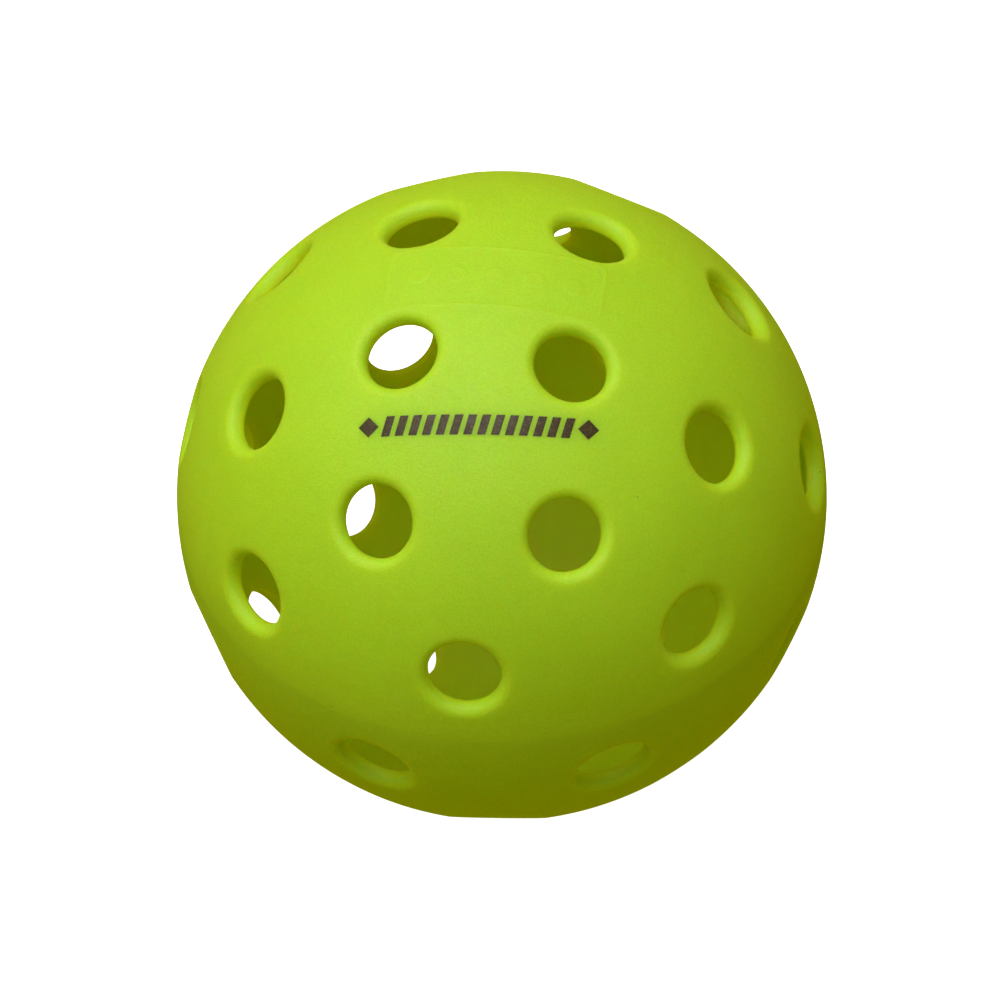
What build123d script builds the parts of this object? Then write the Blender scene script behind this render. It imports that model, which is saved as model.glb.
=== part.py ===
"""Outdoor pickleball ball: two perforated half shells welded at the equator, with one ink stamp.

The ball's centre is the origin, the seam lies in the XY plane and +Z runs through the middle of
the upper half's mould. The stamp is on the -Y side of the upper half. Millimetres and degrees.
"""

from build123d import *
import math
import os

# Shell
BALL_DIAMETER = 74.0
WALL = 2.0

# Holes: each half has three rings, given as angle from the pole, first hole's azimuth, and count
HOLE_DIAMETER = 8.4
LIP_RADIUS = 1.2
RINGS = (
    (22.2, 45.0, 4),
    (50.4, 22.5, 8),
    (75.9, 0.0, 8),
)
LOWER_HALF_TURN = 27.2  # the halves are welded with their patterns this far out of step
CLEAR_MERIDIAN = 10.0  # runs between the holes, so the faces of each half close along it

# Weld between the two rims
WEB_HEIGHT = 0.5
WITNESS_RISE = 0.04  # how far the web stands out of the ball
BEAD_HEIGHT = 2.0
BEAD_DEPTH = 0.6

# Mould insert mark around the upper pole: a fine raised outline with a row of round bosses in it
INSERT_LENGTH = 24.5
INSERT_WIDTH = 9.0
INSERT_CORNER = 1.0
INSERT_LINE = 0.35
INSERT_RISE = 0.06
BOSS_DIAMETER = 2.6
BOSS_PITCH = 4.4
BOSS_COUNT = 5

# Ink stamp: a row of slanted bars between two diamonds, along a great circle
STAMP_POLAR = 29.6
STAMP_AZIMUTH = 270.0
STAMP_TILT = 3.7
STAMP_LENGTH = 24.6  # between the centres of the diamonds
STAMP_HEIGHT = 2.3
BAR_WIDTH = 0.95
BAR_SLANT = 15.0
BAR_PITCH = 1.55
BAR_COUNT = 14
DIAMOND_WIDTH = 2.3
INK_THICKNESS = 0.05

radius = BALL_DIAMETER / 2
inner_radius = radius - WALL
hole_radius = HOLE_DIAMETER / 2
half_web = WEB_HEIGHT / 2


def direction(polar, azimuth):
    """Unit vector at an angle from +Z and an azimuth from +X."""
    level = math.sin(math.radians(polar))
    return Vector(
        level * math.cos(math.radians(azimuth)),
        level * math.sin(math.radians(azimuth)),
        math.cos(math.radians(polar)),
    )


def tangent_plane(polar, azimuth, distance):
    """Plane square to a direction, this far from the centre, with its X along the parallel."""
    east = direction(90, azimuth + 90)
    outward = direction(polar, azimuth)
    return Plane(origin=outward * distance, x_dir=east, z_dir=outward)


def level_radius(sphere_radius, height):
    """Radius of the circle that a sphere has at a height."""
    return math.sqrt(sphere_radius**2 - height**2)


def turned(outline):
    """Solid turned about Z from a closed outline in radius and height."""
    section = Plane.XZ.rotated((0, 0, CLEAR_MERIDIAN)) * make_face(outline)
    return revolve(section, Axis.Z)


def arc(sphere_radius, start_height, end_height):
    """Arc of a sphere's section between two heights."""
    middle = (start_height + end_height) / 2
    points = [
        (level_radius(sphere_radius, height), height)
        for height in (start_height, middle, end_height)
    ]
    return ThreePointArc(*points)


def plain_half():
    """Half shell over +Z without holes, its flat rim half a weld web above the seam plane."""
    outer = arc(radius, half_web, radius)
    inner = arc(inner_radius, half_web, inner_radius)
    rim = Line(inner @ 0, outer @ 0)
    pole = Line(inner @ 1, outer @ 1)
    return turned([rim, outer, pole, inner])


def hole_directions():
    """Directions of the holes in one half, as angle from the pole and azimuth."""
    for polar, first, count in RINGS:
        for number in range(count):
            yield polar, first + number * 360 / count


def perforated_half():
    """Half shell over +Z with its holes, each rounded at the outer edge and sharp inside."""
    half = plain_half()
    for polar, azimuth in hole_directions():
        plane = tangent_plane(polar, azimuth, inner_radius - WALL)
        half -= plane * extrude(Circle(hole_radius), 3 * WALL)
    mouth_distance = level_radius(radius, hole_radius)
    mouths = [direction(*where) * mouth_distance for where in hole_directions()]
    mouth_edges = []
    for edge in half.edges():
        point = edge.position_at(0.5)
        on_mouth = any(abs((point - mouth).length - hole_radius) < 0.01 for mouth in mouths)
        if on_mouth and abs(point.length - radius) < 0.01:
            mouth_edges.append(edge)
    return fillet(mouth_edges, LIP_RADIUS)


def skin(sketch, plane, rise, root):
    """Sketch pressed straight onto the ball: it stands out by rise and starts root below it."""
    layer = Sphere(radius + rise) - Sphere(radius - root)
    return layer & extrude(plane * sketch, radius)


def insert_mark():
    """Raised marks that the upper mould's insert leaves around the pole."""
    outside = RectangleRounded(INSERT_LENGTH, INSERT_WIDTH, INSERT_CORNER)
    inside = RectangleRounded(
        INSERT_LENGTH - 2 * INSERT_LINE,
        INSERT_WIDTH - 2 * INSERT_LINE,
        INSERT_CORNER - INSERT_LINE,
    )
    bosses = GridLocations(BOSS_PITCH, 0, BOSS_COUNT, 1) * Circle(BOSS_DIAMETER / 2)
    sketch = outside - inside + Sketch() + bosses
    return skin(sketch, Plane.XY.offset(radius / 2), INSERT_RISE, WALL / 4)


def upper_half_shell():
    """The half with the insert mark."""
    return perforated_half() + insert_mark()


def lower_half_shell():
    """The plain half, mirrored across the seam and turned out of step."""
    return Rot(Z=LOWER_HALF_TURN) * mirror(perforated_half(), Plane.XY)


def seam_weld():
    """Melted ring that joins the two rims: a web through the wall and a bead along the inside."""
    half_bead = BEAD_HEIGHT / 2
    upper_rim = Line(
        (level_radius(inner_radius, half_web), half_web),
        (level_radius(radius, half_web), half_web),
    )
    lower_rim = Line(
        (level_radius(inner_radius, half_web), -half_web),
        (level_radius(radius, half_web), -half_web),
    )
    witness = ThreePointArc(upper_rim @ 1, (radius + WITNESS_RISE, 0), lower_rim @ 1)
    lower_lap = arc(inner_radius, -half_web, -half_bead)
    upper_lap = arc(inner_radius, half_web, half_bead)
    bead = ThreePointArc(lower_lap @ 1, (inner_radius - BEAD_DEPTH, 0), upper_lap @ 1)
    return turned([upper_rim, witness, lower_rim, lower_lap, bead, upper_lap])


def slanted_bar():
    """One bar of the stamp, a parallelogram that leans to the east."""
    lean = STAMP_HEIGHT / 2 * math.tan(math.radians(BAR_SLANT))
    half_width = BAR_WIDTH / 2
    half_height = STAMP_HEIGHT / 2
    return Polygon(
        (lean - half_width, half_height),
        (-lean - half_width, -half_height),
        (-lean + half_width, -half_height),
        (lean + half_width, half_height),
    )


def diamond():
    """One end mark of the stamp."""
    half_width = DIAMOND_WIDTH / 2
    half_height = STAMP_HEIGHT / 2
    return Polygon((half_width, 0), (0, half_height), (-half_width, 0), (0, -half_height))


def printed_stamp():
    """Thin ink film on the ball, one solid for each bar and diamond."""
    bars = GridLocations(BAR_PITCH, 0, BAR_COUNT, 1) * slanted_bar()
    ends = GridLocations(STAMP_LENGTH, 0, 2, 1) * diamond()
    plane = tangent_plane(STAMP_POLAR, STAMP_AZIMUTH, radius / 2) * Rot(Z=STAMP_TILT)
    film = Sketch() + bars + ends
    return skin(film, plane, INK_THICKNESS, 0)


parts = {
    "upper_half_shell": upper_half_shell(),
    "lower_half_shell": lower_half_shell(),
    "seam_weld": seam_weld(),
    "printed_stamp": printed_stamp(),
}
os.makedirs("parts", exist_ok=True)
for name, part in parts.items():
    export_step(part, f"parts/{name}.step")
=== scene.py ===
"""Looks of the outdoor pickleball ball: two moulded half shells, their weld and the ink stamp.

Metres and degrees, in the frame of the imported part: the ball's centre is the origin, the seam
lies in the XY plane, and +Z runs through the middle of the upper half's mould.
"""

import math

import bmesh
import bpy
import numpy as np
from mathutils import Matrix, Vector, noise
from mathutils.geometry import delaunay_2d_cdt

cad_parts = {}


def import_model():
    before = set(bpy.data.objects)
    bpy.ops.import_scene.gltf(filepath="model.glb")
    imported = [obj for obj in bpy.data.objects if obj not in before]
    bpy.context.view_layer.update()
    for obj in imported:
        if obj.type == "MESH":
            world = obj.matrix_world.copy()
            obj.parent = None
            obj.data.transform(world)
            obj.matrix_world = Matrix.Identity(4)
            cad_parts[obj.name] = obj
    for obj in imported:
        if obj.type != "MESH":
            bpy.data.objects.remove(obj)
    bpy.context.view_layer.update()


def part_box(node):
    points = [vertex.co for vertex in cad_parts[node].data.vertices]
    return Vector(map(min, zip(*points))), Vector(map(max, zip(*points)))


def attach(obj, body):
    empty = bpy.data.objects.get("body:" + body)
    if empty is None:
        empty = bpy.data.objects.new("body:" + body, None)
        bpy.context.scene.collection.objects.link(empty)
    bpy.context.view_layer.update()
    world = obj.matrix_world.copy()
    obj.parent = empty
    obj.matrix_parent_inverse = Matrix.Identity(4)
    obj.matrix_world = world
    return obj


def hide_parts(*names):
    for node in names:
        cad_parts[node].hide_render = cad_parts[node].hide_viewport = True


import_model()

# The ball
RADIUS = -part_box("lower_half_shell")[0].z
WALL = 0.002
INNER_RADIUS = RADIUS - WALL
HALF_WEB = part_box("upper_half_shell")[0].z
HOLE_RADIUS = 0.0042
LIP_RADIUS = 0.0012
INNER_EDGE = 0.00012
CHAMFER_SHARE = 0.3  # the inner edge's middle point, as a share of its size
RINGS = (
    (22.2, 45.0, 4),
    (50.4, 22.5, 8),
    (75.9, 0.0, 8),
)
LOWER_HALF_TURN = 27.2

# How finely the shells are meshed
HOLE_STEPS = 64
LIP_STEPS = 8
RIM_STEPS = 360
OUTER_SPACING = 0.00105
INNER_SPACING = 0.0017
ROW_GAP = 0.00015  # rows along the rim keep this far from other points
EDGE_GAP = 1.02  # the insert mark's points start at this multiple of a hole's edge angle
FILLING_GAP = 0.6  # filling points keep this share of their spacing from other points
OUTER_RIM_ROWS = (0.00012, 0.0003, 0.0006, 0.0011)
INNER_RIM_ROWS = (0.0005, 0.0012)
OUTER_HOLE_ROWS = (1.03, 1.09, 1.18, 1.3)  # as multiples of the hole's edge angle
INNER_HOLE_ROWS = (1.1, 1.3)

# Unevenness of the moulding and the seam
WAVE_HEIGHT = 0.00002
WAVE_LENGTH = 0.011
SEAM_DIP = 0.00001
SEAM_DIP_WIDTH = 0.0005

# Mark of the mould insert around the upper pole
INSERT_LENGTH = 0.0245
INSERT_WIDTH = 0.009
INSERT_CORNER = 0.001
INSERT_LINE = 0.00035
INSERT_RISE = 0.00006
BOSS_RADIUS = 0.0013
BOSS_PITCH = 0.0044
BOSS_COUNT = 5
BOSS_SLOPE = 0.0003  # width of a boss's sloping edge
BOSS_ROWS = (0.6, 0.78, 0.86, 0.93, 1.0, 1.12)  # as multiples of the boss's radius
BOSS_STEPS = 32

# Ink stamp
STAMP_POLAR = 29.6
STAMP_AZIMUTH = 270.0
STAMP_TILT = 3.7
STAMP_LENGTH = 0.0246
STAMP_HEIGHT = 0.0023
BAR_WIDTH = 0.00095
BAR_SLANT = 15.0
BAR_PITCH = 0.00155
BAR_COUNT = 14
DIAMOND_WIDTH = 0.0023
INK_THICKNESS = 0.00002
INK_EDGE_SHARE = 0.4  # how much of its thickness the film keeps at the very edge
PATCH_STEPS = 10

# Weld
BEAD_HEIGHT = 0.002
BEAD_DEPTH = 0.0006
BEAD_STEPS = 10
BEAD_WAVE_HEIGHT = 0.0002
BEAD_WAVE_LENGTH = 0.002

# Colours
LIME = (0.452, 0.770, 0.030)
LIME_DEEP = (0.396, 0.695, 0.020)
LIME_INSIDE = (0.64, 0.87, 0.004)  # painted light: a lighter glow that stands in for the light that comes through the wall
LOWER_TONE = 0.91  # the lower half is a slightly deeper green
DUST = (0.10, 0.09, 0.02)
INK = (0.030, 0.017, 0.006)
INK_THIN = (0.110, 0.080, 0.010)
WHITE = (1.0, 1.0, 1.0)
YELLOW = (1.0, 1.0, 0.0)
SURROUNDINGS = (1.0, 0.77, 0.0)

# Grain of the plastic
GRAIN_PER_METRE = 4200
GRAIN_HEIGHT = 0.00005
SCATTER_DEPTH = 0.005
SCATTER_START = 0.0003  # scattering starts this far from the seam plane
SCATTER_FULL = 0.005  # and is full this far from it
SPECKS_PER_METRE = 330
SPECK_RADIUS = 0.00011

# Camera
VIEW_AZIMUTH = 277.93
VIEW_ELEVATION = 48.09
VIEW_ROLL = -1.68
VIEW_DISTANCE = 44.0  # ball radii
BALL_SHARE = 0.6502  # of the frame's width
BALL_RIGHT = 0.0057  # ball centre's offset from the frame's centre, in ball radii
BALL_UP = 0.0126
SENSOR_WIDTH = 36  # millimetres

# Light
LIGHT_DISTANCE = 0.9
LIGHT_SIZE = 0.8
LIGHTS = (  # name, azimuth, elevation, watts, colour
    ("key", 210.0, 76.8, 7.2, WHITE),
    ("left_fill", 203.0, 10.0, 0.4, YELLOW),
)
SURROUNDINGS_STRENGTH = 0.325
FLOOR_HALF_SIZE = 4.0


def unit(polar, azimuth):
    """Unit vectors at angles from +Z and azimuths from +X, in degrees."""
    polar = np.radians(polar)
    azimuth = np.radians(azimuth)
    level = np.sin(polar)
    return np.stack(
        np.broadcast_arrays(level * np.cos(azimuth), level * np.sin(azimuth), np.cos(polar)),
        axis=-1,
    )


def hole_axes():
    """Unit vectors along the holes of the upper half."""
    return [
        unit(polar, first + number * 360 / count)
        for polar, first, count in RINGS
        for number in range(count)
    ]


def across(axis):
    """Two unit vectors square to an axis and to each other."""
    east = np.cross((0.0, 0.0, 1.0), axis)
    east = east / np.linalg.norm(east)
    return east, np.cross(axis, east)


def around_axis(axis, distance, height, steps=HOLE_STEPS):
    """Circle of points around an axis, this far from it and this far along it."""
    east, north = across(axis)
    turn = np.linspace(0, 2 * math.pi, steps, endpoint=False)[:, None]
    return height * axis + distance * (np.cos(turn) * east + np.sin(turn) * north)


def cap_points(spacing, radius):
    """Evenly spread directions over the upper half of a sphere, this far apart on its surface."""
    area = spacing**2 * math.sqrt(3) / 2
    count = int(2 * math.pi * radius**2 / area)
    number = np.arange(count) + 0.5
    height = 1 - number / count
    turn = number * math.pi * (3 - math.sqrt(5))
    level = np.sqrt(1 - height**2)
    return np.stack([level * np.cos(turn), level * np.sin(turn), height], axis=1)


def away_from(points, others, gap):
    """The points that are further than an angle from all the others."""
    nearest = (points @ np.asarray(others).T).max(axis=1)
    return points[nearest < math.cos(gap)]


def triangulate(points):
    """Triangles over directions of the upper half, evenly shaped on the sphere."""
    flat = points[:, :2] / (1 + points[:, 2:])
    _, _, faces, origin, _, _ = delaunay_2d_cdt([Vector(p) for p in flat], [], [], 0, 1e-9)
    return [tuple(origin[corner][0] for corner in face) for face in faces]


class Skin:
    """One face of a half shell: directions on a sphere, with each hole's and the rim's edge."""

    def __init__(self, radius, edge_angle, ring_angles, spacing, rim_rows, extra=()):
        self.axes = hole_axes()
        rim_turn = np.linspace(0, 360, RIM_STEPS, endpoint=False)
        groups = [unit(90 - math.degrees(math.asin(HALF_WEB / radius)), rim_turn)]
        edge_of = [np.full(RIM_STEPS, -1)]
        for number, axis in enumerate(self.axes):
            groups.append(around_axis(axis, math.sin(edge_angle), math.cos(edge_angle)))
            edge_of.append(np.full(HOLE_STEPS, number))
        for angle in ring_angles:
            for axis in self.axes:
                groups.append(around_axis(axis, math.sin(angle), math.cos(angle)))
        groups.append(self.outside(np.asarray(extra).reshape(-1, 3), edge_angle * EDGE_GAP))
        rows = [
            unit(90 - math.degrees(math.asin((HALF_WEB + row) / radius)), rim_turn)
            for row in rim_rows
        ]
        rows = self.outside(np.concatenate(rows), edge_angle)
        groups.append(away_from(rows, np.concatenate(groups[1:]), ROW_GAP / radius))
        taken = np.concatenate(groups)
        last_ring = max(ring_angles)
        filling = self.outside(cap_points(spacing, radius), last_ring + 0.5 * spacing / radius)
        filling = filling[filling[:, 2] * radius > HALF_WEB + 0.5 * spacing]
        filling = away_from(filling, taken, FILLING_GAP * spacing / radius)
        groups.append(filling)
        self.points = np.concatenate(groups)
        edge_of.append(np.full(len(self.points) - sum(len(part) for part in edge_of), -1))
        self.edge_of = np.concatenate(edge_of)
        self.faces = [face for face in triangulate(self.points) if not self.in_hole(face)]

    def outside(self, points, angle):
        """The points further than an angle from every hole's axis."""
        return away_from(points, self.axes, angle)

    def in_hole(self, face):
        """Whether all of a face's corners lie on the edge of one hole."""
        first, second, third = (self.edge_of[corner] for corner in face)
        return first >= 0 and first == second == third

    def edge_start(self, number):
        """Index of the first point on a hole's edge."""
        return RIM_STEPS + number * HOLE_STEPS


def smooth(share):
    """Smooth rise from 0 at 0 to 1 at 1, flat beyond both."""
    share = np.clip(share, 0, 1)
    return share * share * (3 - 2 * share)


def outline_distance(x, y):
    """Distance from the middle of the insert mark's outline, a rectangle with round corners."""
    half_length = INSERT_LENGTH / 2 - INSERT_LINE / 2
    half_width = INSERT_WIDTH / 2 - INSERT_LINE / 2
    over_x = np.abs(x) - (half_length - INSERT_CORNER)
    over_y = np.abs(y) - (half_width - INSERT_CORNER)
    outside = np.hypot(np.maximum(over_x, 0), np.maximum(over_y, 0))
    inside = np.minimum(np.maximum(over_x, over_y), 0)
    return outside + inside - INSERT_CORNER


def boss_centres():
    """Places of the round bosses along the insert mark."""
    return (np.arange(BOSS_COUNT) - (BOSS_COUNT - 1) / 2) * BOSS_PITCH


def insert_rise(place):
    """How far the insert mark stands out at places on the ball."""
    x, y, z = place.T
    rise = smooth(1 - np.abs(outline_distance(x, y)) / INSERT_LINE)
    for centre in boss_centres():
        edge = BOSS_RADIUS - np.hypot(x - centre, y)
        rise = np.maximum(rise, smooth(edge / BOSS_SLOPE))
    return np.where(z > 0, rise * INSERT_RISE, 0)


def insert_directions():
    """Extra directions that give the insert mark its own rows of points."""
    points = []
    half_length = INSERT_LENGTH / 2 - INSERT_LINE / 2
    half_width = INSERT_WIDTH / 2 - INSERT_LINE / 2
    for offset in np.linspace(-1, 1, 7) * INSERT_LINE:
        length = half_length + offset
        width = half_width + offset
        corner = INSERT_CORNER + offset
        along = np.arange(corner - length, length - corner + INSERT_LINE / 2, INSERT_LINE)
        upright = np.arange(corner - width, width - corner + INSERT_LINE / 2, INSERT_LINE)
        for side in (-1, 1):
            points += [(x, side * width) for x in along]
            points += [(side * length, y) for y in upright]
            for turn in np.linspace(0, 90, 7)[1:-1]:
                x = length - corner + corner * math.cos(math.radians(turn))
                y = width - corner + corner * math.sin(math.radians(turn))
                points += [(side * x, end * y) for end in (-1, 1)]
    for centre in boss_centres():
        for row in BOSS_ROWS:
            reach = row * BOSS_RADIUS
            for turn in np.linspace(0, 2 * math.pi, BOSS_STEPS, endpoint=False):
                points.append((centre + reach * math.cos(turn), reach * math.sin(turn)))
    flat = np.array(points) / RADIUS
    return np.column_stack([flat, np.sqrt(1 - (flat**2).sum(axis=1))])


def unevenness(place):
    """Slight waves of the moulded surface and the dip at the seam, at places on the ball."""
    waves = np.array([noise.noise(Vector(p / WAVE_LENGTH)) for p in place])
    dip = np.exp(-((np.abs(place[:, 2]) / SEAM_DIP_WIDTH) ** 2))
    return WAVE_HEIGHT * waves - SEAM_DIP * dip


def hole_profile(mouth_angle, throat_height):
    """Section of a hole from its rounded lip to its inner edge, as distance and height."""
    arc_centre = HOLE_RADIUS + LIP_RADIUS
    arc_height = math.sqrt((RADIUS - LIP_RADIUS) ** 2 - arc_centre**2)
    profile = []
    for step in range(1, LIP_STEPS + 1):
        turn = mouth_angle - (mouth_angle + math.pi / 2) * step / LIP_STEPS
        distance = arc_centre + LIP_RADIUS * math.sin(turn)
        profile.append((distance, arc_height + LIP_RADIUS * math.cos(turn)))
    chamfer = INNER_EDGE * CHAMFER_SHARE
    profile.append((HOLE_RADIUS, (arc_height + throat_height) / 2))
    profile.append((HOLE_RADIUS, throat_height + INNER_EDGE))
    profile.append((HOLE_RADIUS + chamfer, throat_height + chamfer))
    return profile


def half_shell(name, to_place, with_insert):
    """A perforated half shell as one closed mesh. to_place turns upper-half points into place."""
    mouth_angle = math.asin((HOLE_RADIUS + LIP_RADIUS) / (RADIUS - LIP_RADIUS))
    throat = HOLE_RADIUS + INNER_EDGE
    throat_height = math.sqrt(INNER_RADIUS**2 - throat**2)
    outer = Skin(
        RADIUS,
        mouth_angle,
        [mouth_angle * share for share in OUTER_HOLE_ROWS],
        OUTER_SPACING,
        OUTER_RIM_ROWS,
        insert_directions() if with_insert else (),
    )
    throat_angle = math.asin(throat / INNER_RADIUS)
    inner = Skin(
        INNER_RADIUS,
        throat_angle,
        [throat_angle * share for share in INNER_HOLE_ROWS],
        INNER_SPACING,
        INNER_RIM_ROWS,
    )
    outer_place = to_place(outer.points * RADIUS)
    shift = unevenness(outer_place)
    if with_insert:
        shift = shift + insert_rise(outer_place)
    outer_place = outer_place * (1 + shift / RADIUS)[:, None]
    inner_place = to_place(inner.points * INNER_RADIUS)
    inner_start = len(outer_place)
    places = [outer_place, inner_place]
    faces = list(outer.faces)
    faces += [tuple(corner + inner_start for corner in face) for face in inner.faces]
    count = inner_start + len(inner_place)

    profile = hole_profile(mouth_angle, throat_height)
    for number, axis in enumerate(outer.axes):
        start = outer.edge_start(number)
        above = [start + step for step in range(HOLE_STEPS)]
        edge_shift = shift[start : start + HOLE_STEPS, None]
        for level, (distance, height) in enumerate(profile, 1):
            circle = to_place(around_axis(axis, distance, height))
            fade = max(0.0, 1 - level / LIP_STEPS)
            places.append(circle * (1 + edge_shift * fade / RADIUS))
            below = [count + step for step in range(HOLE_STEPS)]
            faces += bridge(above, below)
            above = below
            count += HOLE_STEPS
        below = [inner_start + inner.edge_start(number) + step for step in range(HOLE_STEPS)]
        faces += bridge(above, below)
    faces += bridge(list(range(RIM_STEPS)), [inner_start + step for step in range(RIM_STEPS)])
    return closed_mesh(name, np.concatenate(places), faces)


def bridge(first, second):
    """Quads between two closed loops of vertices with the same number of steps."""
    steps = len(first)
    return [
        (first[step], first[(step + 1) % steps], second[(step + 1) % steps], second[step])
        for step in range(steps)
    ]


def closed_mesh(name, places, faces, sharp=35):
    """Smooth object from vertices and faces, its faces turned outward and its sharp edges kept."""
    mesh = bpy.data.meshes.new(name)
    mesh.from_pydata([tuple(place) for place in places], [], faces)
    shape = bmesh.new()
    shape.from_mesh(mesh)
    bmesh.ops.recalc_face_normals(shape, faces=shape.faces)
    open_edges = sum(1 for edge in shape.edges if len(edge.link_faces) != 2)
    print(name, "vertices", len(shape.verts), "faces", len(shape.faces), "open edges", open_edges)
    shape.to_mesh(mesh)
    shape.free()
    mesh.shade_smooth()
    mesh.set_sharp_from_angle(angle=math.radians(sharp))
    piece = bpy.data.objects.new(name, mesh)
    bpy.context.scene.collection.objects.link(piece)
    return piece


def upper_place(points):
    """Upper-half points, which are in place already."""
    return points


def lower_place(points):
    """Upper-half points mirrored across the seam and turned out of step."""
    turn = math.radians(LOWER_HALF_TURN)
    x, y, z = points.T
    return np.stack(
        [
            x * math.cos(turn) - y * math.sin(turn),
            x * math.sin(turn) + y * math.cos(turn),
            -z,
        ],
        axis=1,
    )


# Stamp


def tangent_frame(polar, azimuth, turn):
    """Right, up and outward unit vectors at a direction, turned about the outward one."""
    outward = unit(polar, azimuth)
    east, north = across(outward)
    turn = math.radians(turn)
    right = math.cos(turn) * east + math.sin(turn) * north
    return right, np.cross(outward, right), outward


def slanted_bar(centre):
    """Corners of one bar of the stamp, which leans to the right."""
    lean = STAMP_HEIGHT / 2 * math.tan(math.radians(BAR_SLANT))
    half_width = BAR_WIDTH / 2
    half_height = STAMP_HEIGHT / 2
    return [
        (centre - lean - half_width, -half_height),
        (centre - lean + half_width, -half_height),
        (centre + lean + half_width, half_height),
        (centre + lean - half_width, half_height),
    ]


def diamond(centre):
    """Corners of one end mark of the stamp."""
    half_width = DIAMOND_WIDTH / 2
    half_height = STAMP_HEIGHT / 2
    return [
        (centre, -half_height),
        (centre + half_width, 0),
        (centre, half_height),
        (centre - half_width, 0),
    ]


def inked_patch(corners, steps=PATCH_STEPS):
    """Places and faces of a thin film over a four-cornered patch, pressed straight onto the ball."""
    right, up, outward = tangent_frame(STAMP_POLAR, STAMP_AZIMUTH, STAMP_TILT)
    a, b, c, d = (np.array(corner) for corner in corners)
    places = []
    for level in (-0.5 * INK_THICKNESS, INK_THICKNESS):
        for row in np.linspace(0, 1, steps + 1):
            for column in np.linspace(0, 1, steps + 1):
                flat = (1 - row) * ((1 - column) * a + column * b) + row * (
                    (1 - column) * d + column * c
                )
                inward = 4 * min(row, 1 - row, column, 1 - column)
                rise = level if level < 0 else level * min(1.0, INK_EDGE_SHARE + inward)
                depth = math.sqrt(RADIUS**2 - flat @ flat)
                place = flat[0] * right + flat[1] * up + depth * outward
                shift = unevenness(place[None])[0] + rise
                places.append(place * (1 + shift / RADIUS))
    side = steps + 1
    layer = side * side
    faces = []
    for row in range(steps):
        for column in range(steps):
            low = row * side + column
            faces.append((low, low + side, low + side + 1, low + 1))
            high = low + layer
            faces.append((high, high + 1, high + side + 1, high + side))
    loop = list(range(side))
    loop += [row * side + steps for row in range(1, side)]
    loop += [steps * side + column for column in range(steps - 1, -1, -1)]
    loop += [row * side for row in range(steps - 1, 0, -1)]
    faces += bridge(loop, [corner + layer for corner in loop])
    return places, faces


def stamp():
    """The ink stamp: slanted bars between two diamonds."""
    patches = [
        slanted_bar((number - (BAR_COUNT - 1) / 2) * BAR_PITCH) for number in range(BAR_COUNT)
    ]
    patches += [diamond(side * STAMP_LENGTH / 2) for side in (-1, 1)]
    places = []
    faces = []
    for patch in patches:
        new_places, new_faces = inked_patch(patch)
        faces += [tuple(corner + len(places) for corner in face) for face in new_faces]
        places += new_places
    return closed_mesh("ink_stamp", np.array(places), faces, 60)


# Weld


def weld():
    """Ring of melted plastic between the rims, a little uneven along the inside bead."""
    half_bead = BEAD_HEIGHT / 2
    turns = np.linspace(0, 2 * math.pi, RIM_STEPS, endpoint=False)
    section = []
    for height in np.linspace(-HALF_WEB, HALF_WEB, 5):
        section.append((math.sqrt(RADIUS**2 - height**2), height, 0))
    for height in np.linspace(HALF_WEB, half_bead, 4):
        section.append((math.sqrt(INNER_RADIUS**2 - height**2), height, 0))
    bead_edge = math.sqrt(INNER_RADIUS**2 - half_bead**2)
    for step in range(1, BEAD_STEPS):
        turn = math.pi * step / BEAD_STEPS
        section.append(
            (bead_edge - BEAD_DEPTH * math.sin(turn), half_bead * math.cos(turn), math.sin(turn))
        )
    for height in np.linspace(-half_bead, -HALF_WEB, 4):
        section.append((math.sqrt(INNER_RADIUS**2 - height**2), height, 0))
    places = []
    for radius, height, looseness in section:
        for turn in turns:
            place = np.array([radius * math.cos(turn), radius * math.sin(turn), height])
            if radius > INNER_RADIUS + WALL / 2:
                shift = unevenness(place[None])[0]
            else:
                wave = noise.noise(Vector(place / BEAD_WAVE_LENGTH))
                shift = looseness * BEAD_WAVE_HEIGHT * wave
            places.append(place * (1 + shift / RADIUS))
    faces = []
    count = len(section)
    for row in range(count):
        first = [row * RIM_STEPS + step for step in range(RIM_STEPS)]
        second = [(row + 1) % count * RIM_STEPS + step for step in range(RIM_STEPS)]
        faces += bridge(first, second)
    return closed_mesh("weld_ring", np.array(places), faces)


# Materials


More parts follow.
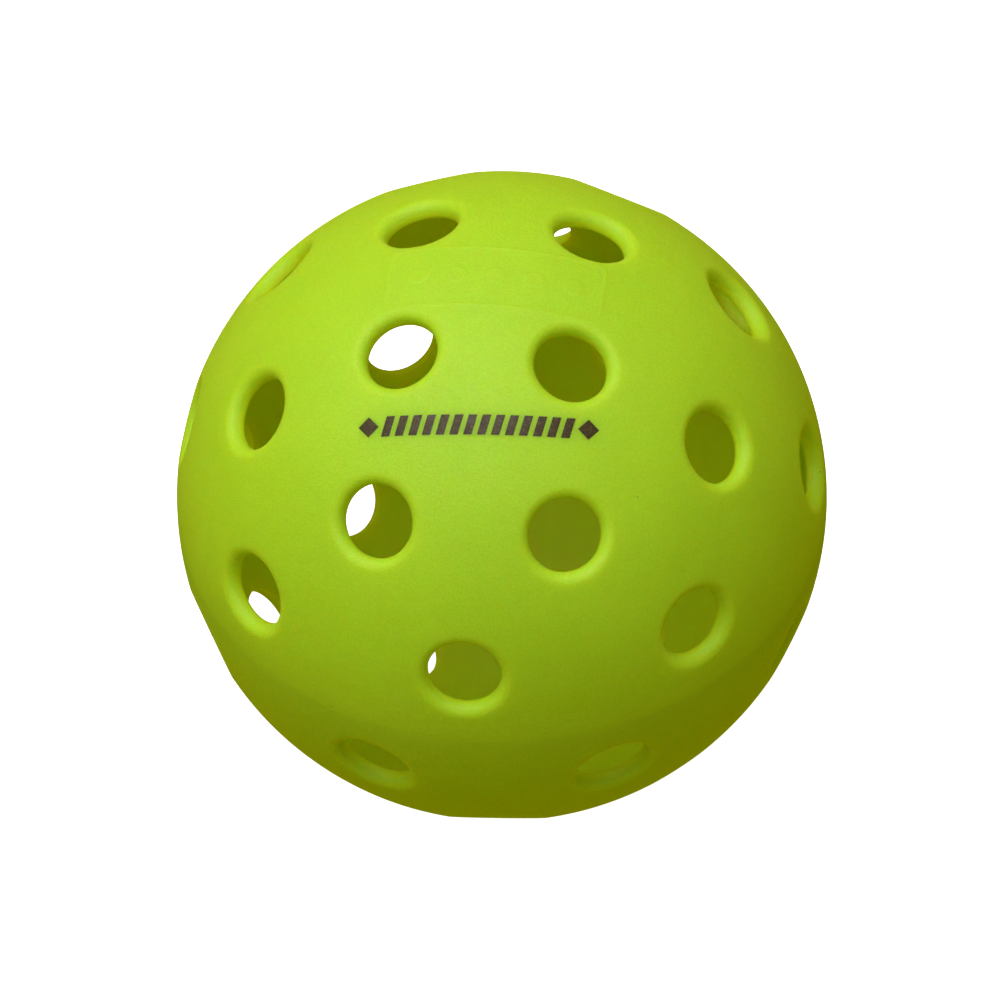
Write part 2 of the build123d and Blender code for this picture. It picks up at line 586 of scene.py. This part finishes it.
class Nodes:
    """Short way to build one material's node tree."""

    def __init__(self, name):
        self.material = bpy.data.materials.new(name)
        self.material.use_nodes = True
        self.tree = self.material.node_tree
        self.tree.nodes.clear()
        self.place = self.add("ShaderNodeTexCoord").outputs["Object"]

    def add(self, kind, **settings):
        """New node of a kind, with settings."""
        node = self.tree.nodes.new(kind)
        for name, value in settings.items():
            setattr(node, name, value)
        return node

    def link(self, output, socket):
        """Connect an output to a socket."""
        self.tree.links.new(output, socket)

    def noise(self, per_metre, detail=2.0, roughness=0.5):
        """Noise with this many features per metre, from 0 to 1."""
        node = self.add("ShaderNodeTexNoise")
        node.inputs["Scale"].default_value = per_metre
        node.inputs["Detail"].default_value = detail
        node.inputs["Roughness"].default_value = roughness
        self.link(self.place, node.inputs["Vector"])
        return node.outputs["Fac"]

    def spread(self, value, low, high, new_low=0.0, new_high=1.0):
        """Value stretched from one range to another and held inside it."""
        node = self.add("ShaderNodeMapRange", interpolation_type="SMOOTHSTEP")
        for name, number in (
            ("From Min", low),
            ("From Max", high),
            ("To Min", new_low),
            ("To Max", new_high),
        ):
            node.inputs[name].default_value = number
        self.link(value, node.inputs["Value"])
        return node.outputs["Result"]

    def distance(self):
        """Distance from the ball's centre, in metres."""
        node = self.add("ShaderNodeVectorMath", operation="LENGTH")
        self.link(self.place, node.inputs[0])
        return node.outputs["Value"]

    def height(self):
        """Distance from the seam plane, in metres."""
        parts = self.add("ShaderNodeSeparateXYZ")
        self.link(self.place, parts.inputs[0])
        return self.math("ABSOLUTE", parts.outputs["Z"], 0.0)

    def math(self, operation, first, second):
        """Result of an operation on two values, each a number or another node's output."""
        node = self.add("ShaderNodeMath", operation=operation)
        for socket, value in zip(node.inputs, (first, second)):
            if isinstance(value, (int, float)):
                socket.default_value = value
            else:
                self.link(value, socket)
        return node.outputs["Value"]

    def mix(self, share, first, second):
        """Colour between two others, each a colour or another node's output."""
        node = self.add("ShaderNodeMix", data_type="RGBA")
        self.link(share, node.inputs["Factor"])
        for socket, value in ((node.inputs[6], first), (node.inputs[7], second)):
            if isinstance(value, tuple):
                socket.default_value = (*value, 1.0)
            else:
                self.link(value, socket)
        return node.outputs[2]

    def specks(self, per_metre, radius, share):
        """1 inside tiny round specks: this share of a grid's cells has one."""
        cells = self.add("ShaderNodeTexVoronoi")
        cells.inputs["Scale"].default_value = per_metre
        self.link(self.place, cells.inputs["Vector"])
        size = radius * per_metre
        near = self.spread(cells.outputs["Distance"], size, size * 0.5)
        pick = self.add("ShaderNodeSeparateColor")
        self.link(cells.outputs["Color"], pick.inputs["Color"])
        chosen = self.spread(pick.outputs["Red"], 1 - share, 1 - share + 0.001)
        return self.math("MULTIPLY", near, chosen)

    def bump(self, height, distance):
        """Normal of a surface that a height raises by up to this many metres."""
        node = self.add("ShaderNodeBump")
        node.inputs["Strength"].default_value = 1.0
        node.inputs["Distance"].default_value = distance
        self.link(height, node.inputs["Height"])
        return node.outputs["Normal"]

    def shader(self, colour, roughness, normal, **settings):
        """Finished material. Settings are numbers, tuples or outputs, named as the sockets are."""
        surface = self.add("ShaderNodeBsdfPrincipled")
        self.link(colour, surface.inputs["Base Color"])
        self.link(roughness, surface.inputs["Roughness"])
        self.link(normal, surface.inputs["Normal"])
        for name, value in settings.items():
            label = name.replace("_", " ").title().replace("Ior", "IOR")
            if isinstance(value, bpy.types.NodeSocket):
                self.link(value, surface.inputs[label])
            else:
                surface.inputs[label].default_value = value
        output = self.add("ShaderNodeOutputMaterial")
        self.link(surface.outputs["BSDF"], output.inputs["Surface"])
        return self.material


def lime_plastic(name, tone=1.0, grain=1.0, clear=True):
    """Moulded neon-green polyethylene: satin, slightly translucent, fine grained, a few specks, with
    a painted glow deep in the holes and inside the shell.
    """
    nodes = Nodes(name)
    cloud = nodes.spread(nodes.noise(70, 2), 0.3, 0.7)
    fine = nodes.noise(GRAIN_PER_METRE, 2, 0.6)
    mottle = nodes.spread(fine, 0.35, 0.65)
    cloud_share = nodes.math("MULTIPLY", cloud, 0.35)
    mottle_share = nodes.math("MULTIPLY", mottle, 0.65)
    share = nodes.math("ADD", cloud_share, mottle_share)
    light, deep = (tuple(channel * tone for channel in lime) for lime in (LIME, LIME_DEEP))
    colour = nodes.mix(share, light, deep)
    # painted light: from deep in the lips inward the colour turns to a lighter glow that stands in
    # for light coming through the wall
    inside = nodes.spread(nodes.distance(), RADIUS - 0.35 * WALL, INNER_RADIUS + 0.1 * WALL)
    colour = nodes.mix(inside, colour, LIME_INSIDE)
    dust = nodes.specks(SPECKS_PER_METRE, SPECK_RADIUS, 0.16)
    colour = nodes.mix(nodes.math("MULTIPLY", dust, 0.75), colour, DUST)
    broad = nodes.noise(420, 2)
    height = nodes.math("ADD", fine, nodes.math("MULTIPLY", broad, 1.5))
    roughness = nodes.spread(nodes.noise(900, 3), 0.25, 0.75, 0.56, 0.68)
    weight = nodes.spread(nodes.height(), SCATTER_START, SCATTER_FULL) if clear else 0.0
    return nodes.shader(
        colour,
        roughness,
        nodes.bump(height, GRAIN_HEIGHT * grain),
        subsurface_weight=weight,
        subsurface_radius=(1.0, 0.45, 0.08),
        subsurface_scale=SCATTER_DEPTH,
        specular_ior_level=0.5,
        subsurface_anisotropy=0.0,
    )


def ink():
    """Dark brown pad-printed ink, thin and worn through in fine flecks."""
    nodes = Nodes("stamp_ink")
    thin = nodes.spread(nodes.noise(GRAIN_PER_METRE, 3, 0.7), 0.48, 0.72)
    colour = nodes.mix(thin, INK, INK_THIN)
    roughness = nodes.spread(nodes.noise(1500, 2), 0.3, 0.7, 0.45, 0.62)
    return nodes.shader(colour, roughness, nodes.bump(nodes.noise(3000, 2), 0.00001))


# Stage


def camera():
    """Camera at the viewing angle, far enough away to flatten the perspective."""
    lens = bpy.data.cameras.new("camera")
    viewer = bpy.data.objects.new("camera", lens)
    bpy.context.scene.collection.objects.link(viewer)
    lens.sensor_width = SENSOR_WIDTH
    lens.lens = lens.sensor_width * BALL_SHARE / 2 / math.tan(math.asin(1 / VIEW_DISTANCE))
    lens.clip_start = 0.01
    lens.clip_end = 20
    away = Vector(unit(90 - VIEW_ELEVATION, VIEW_AZIMUTH))
    facing = away.to_track_quat("Z", "Y").to_matrix()
    facing = facing @ Matrix.Rotation(math.radians(VIEW_ROLL), 3, "Z")
    aside = facing @ Vector((-BALL_RIGHT, -BALL_UP, VIEW_DISTANCE))
    viewer.matrix_world = Matrix.Translation(aside * RADIUS) @ facing.to_4x4()
    bpy.context.scene.camera = viewer


def soft_light(name, azimuth, elevation, power, colour):
    """Square soft box that faces the ball."""
    light = bpy.data.lights.new(name, "AREA")
    light.shape = "SQUARE"
    light.size = LIGHT_SIZE
    light.energy = power
    light.color = colour
    box = bpy.data.objects.new(name, light)
    bpy.context.scene.collection.objects.link(box)
    toward = Vector(unit(90 - elevation, azimuth))
    box.location = toward * LIGHT_DISTANCE
    box.rotation_euler = toward.to_track_quat("Z", "Y").to_euler()


def floor():
    """Plain pale floor that the ball rests on."""
    half = FLOOR_HALF_SIZE
    mesh = bpy.data.meshes.new("floor")
    corners = [(-half, -half), (half, -half), (half, half), (-half, half)]
    mesh.from_pydata([(x, y, -RADIUS) for x, y in corners], [], [(0, 1, 2, 3)])
    sheet = bpy.data.objects.new("floor", mesh)
    bpy.context.scene.collection.objects.link(sheet)
    material = bpy.data.materials.new("pale_floor")
    material.use_nodes = True
    tree = material.node_tree
    surface = tree.nodes["Principled BSDF"]
    surface.inputs["Base Color"].default_value = (0.85, 0.85, 0.85, 1)
    surface.inputs["Roughness"].default_value = 0.9
    surface.inputs["Emission Color"].default_value = (1, 1, 1, 1)
    surface.inputs["Emission Strength"].default_value = 1.0
    mesh.materials.append(material)
    # the sheet shows only from above, so that it never hides the ball from a view below
    side = tree.nodes.new("ShaderNodeNewGeometry")
    clear = tree.nodes.new("ShaderNodeBsdfTransparent")
    faced = tree.nodes.new("ShaderNodeMixShader")
    tree.links.new(side.outputs["Backfacing"], faced.inputs["Fac"])
    tree.links.new(surface.outputs["BSDF"], faced.inputs[1])
    tree.links.new(clear.outputs["BSDF"], faced.inputs[2])
    tree.links.new(faced.outputs["Shader"], tree.nodes["Material Output"].inputs["Surface"])
    sheet.visible_diffuse = False
    sheet.visible_glossy = False
    sheet.visible_shadow = False


def world():
    """Even dim yellow surroundings, which the camera sees as a white backdrop."""
    sky = bpy.data.worlds.new("surroundings")
    sky.use_nodes = True
    tree = sky.node_tree
    back = tree.nodes["Background"]
    back.inputs["Color"].default_value = (*SURROUNDINGS, 1)
    back.inputs["Strength"].default_value = SURROUNDINGS_STRENGTH
    backdrop = tree.nodes.new("ShaderNodeBackground")
    backdrop.inputs["Color"].default_value = (*WHITE, 1)
    path = tree.nodes.new("ShaderNodeLightPath")
    seen = tree.nodes.new("ShaderNodeMixShader")
    tree.links.new(path.outputs["Is Camera Ray"], seen.inputs["Fac"])
    tree.links.new(back.outputs["Background"], seen.inputs[1])
    tree.links.new(backdrop.outputs["Background"], seen.inputs[2])
    tree.links.new(seen.outputs["Shader"], tree.nodes["World Output"].inputs["Surface"])
    bpy.context.scene.world = sky


camera()
floor()
world()
for settings in LIGHTS:
    soft_light(*settings)
bpy.context.scene.view_settings.view_transform = "Standard"

upper = half_shell("upper_shell", upper_place, True)
lower = half_shell("lower_shell", lower_place, False)
ring = weld()
print_mark = stamp()
upper.data.materials.append(lime_plastic("lime_polyethylene"))
lower.data.materials.append(lime_plastic("deeper_lime_polyethylene", LOWER_TONE))
ring.data.materials.append(lime_plastic("weld_polyethylene", (1 + LOWER_TONE) / 2, 0.5, False))
print_mark.data.materials.append(ink())

for piece, node, slot in (
    (upper, "upper_half_shell", "ball_plastic"),
    (lower, "lower_half_shell", "ball_plastic"),
    (ring, "seam_weld", "weld_plastic"),
    (print_mark, "printed_stamp", "stamp_ink"),
):
    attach(piece, "root")
    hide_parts(node)
